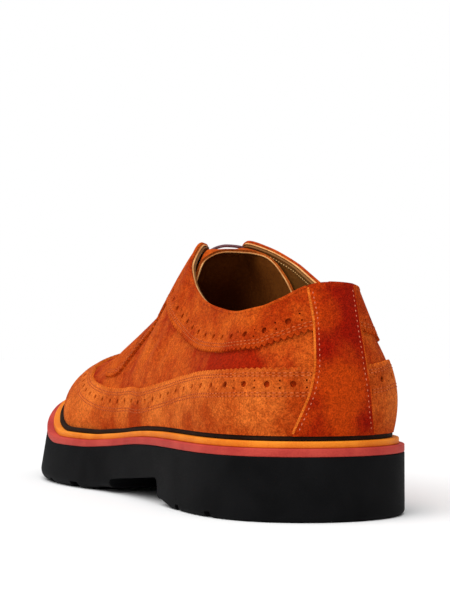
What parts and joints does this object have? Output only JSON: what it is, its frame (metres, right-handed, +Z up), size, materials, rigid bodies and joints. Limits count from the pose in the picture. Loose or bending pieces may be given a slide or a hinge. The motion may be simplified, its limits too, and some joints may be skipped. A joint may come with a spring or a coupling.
{
  "type": "brogue",
  "caption": "Long-wing derby brogue for the left foot in orange suede, on a layered orange, coral and black sole with a low heel and arch.",
  "frame": {"origin": "on the floor, under the middle of the shoe's box", "axes": "+X from the heel to the toe, +Y to the wearer's left, which is the outer side of this shoe, +Z up"},
  "size_m": [0.3036, 0.1141, 0.1113],
  "materials": {
    "black_rubber": "matt moulded black rubber",
    "coral_midsole": "matt coral foam edge",
    "orange_midsole": "matt orange foam edge",
    "dark_welt": "dark brown waxed edge",
    "insole_leather": "smooth brown lining leather",
    "orange_suede": "brushed burnt orange suede",
    "wing_suede": "brushed orange suede with gimped edges",
    "quarter_suede": "brushed orange suede with gimped edges",
    "strip_suede": "brushed red-orange suede",
    "tongue_leather": "soft brown leather",
    "lace_cord": "fine waxed aubergine cord"
  },
  "bodies": {
    "root": {"outsole": "black_rubber", "midsole_lower": "coral_midsole", "midsole_upper": "orange_midsole", "welt": "dark_welt", "insole": "insole_leather", "upper": "orange_suede", "wing": "wing_suede", "quarter_lateral": "quarter_suede", "quarter_medial": "quarter_suede", "heel_strip": "strip_suede", "tongue": "tongue_leather", "lace_bar_1": "lace_cord", "lace_bar_2": "lace_cord", "lace_bar_3": "lace_cord", "lace_bar_4": "lace_cord", "lace_bar_5": "lace_cord"}
  },
  "joints": []
}
